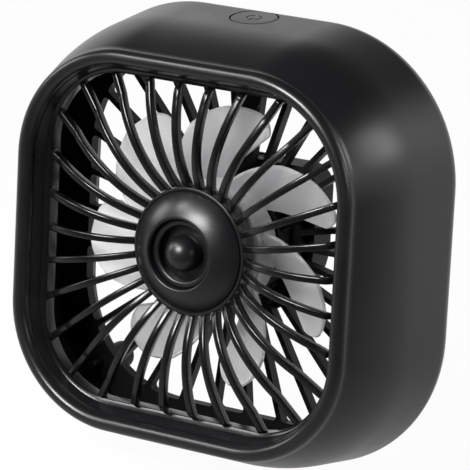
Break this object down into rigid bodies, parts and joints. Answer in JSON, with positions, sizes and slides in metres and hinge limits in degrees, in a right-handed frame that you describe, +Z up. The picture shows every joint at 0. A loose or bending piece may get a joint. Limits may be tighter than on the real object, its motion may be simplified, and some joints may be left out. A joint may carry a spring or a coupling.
{
  "type": "desk fan",
  "caption": "Small square desk fan with a rounded moulded shell, domed radial guard, bladed impeller on a flat motor and a push button on top.",
  "frame": {"origin": "centre of the bounding box's underside: midway across the width, midway between the bead's front and the back plane, at the lowest point of the rounded back edge", "axes": "+Z up, +Y from the grille towards the back along the fan axis, +X to the right seen from the front"},
  "size_m": [0.105, 0.0396, 0.1051],
  "materials": {
    "shell_plastic": "black satin moulded ABS",
    "grille_plastic": "black satin moulded ABS, ribs slightly glossier on their noses",
    "cap_plastic": "black semi-gloss moulded ABS",
    "blade_plastic": "light grey translucent moulded plastic",
    "button_plastic": "black satin",
    "switch_plastic": "black moulded nylon",
    "white_plastic": "natural nylon",
    "steel": "nickel-plated drawn steel",
    "screw_steel": "black zinc",
    "core_steel": "stacked laminations",
    "bronze": "sintered bronze and brass strip",
    "copper": "enamelled copper",
    "magnet": "ferrite",
    "board": "green glass-epoxy board"
  },
  "bodies": {
    "housing": {"housing_shell": "shell_plastic", "front_bezel": "shell_plastic", "front_grille": "grille_plastic", "hub_cap": "cap_plastic", "hub_trim_ring": "cap_plastic", "hub_ball": "cap_plastic", "rear_cover": "grille_plastic", "motor_cover": "shell_plastic", "circuit_board": "board", "usb_socket": "steel", "motor_can": "steel", "motor_end_cap": "white_plastic", "front_bush": "bronze", "rear_bush": "bronze", "motor_magnets": "magnet", "motor_terminals": "bronze", "motor_brushes": "bronze", "switch_body": "switch_plastic", "switch_board": "board", "corner_screws": "screw_steel", "cover_screws": "screw_steel", "switch_screws": "screw_steel"},
    "rotor": {"impeller": "blade_plastic", "motor_shaft": "steel", "armature_core": "core_steel", "armature_windings": "copper", "commutator": "copper"},
    "button": {"power_button": "button_plastic", "switch_plunger": "switch_plastic"}
  },
  "joints": [
    {"name": "impeller_spin", "type": "hinge", "parent": "housing", "child": "rotor", "pos_m": [0, 0, 0.0525], "axis": [0, 1, 0], "continuous": true},
    {"name": "power_press", "type": "slide", "parent": "housing", "child": "button", "axis": [0, 0.123, -0.9924], "range_m": [0, 0.0004], "stiffness_N_per_m": 1500}
  ]
}
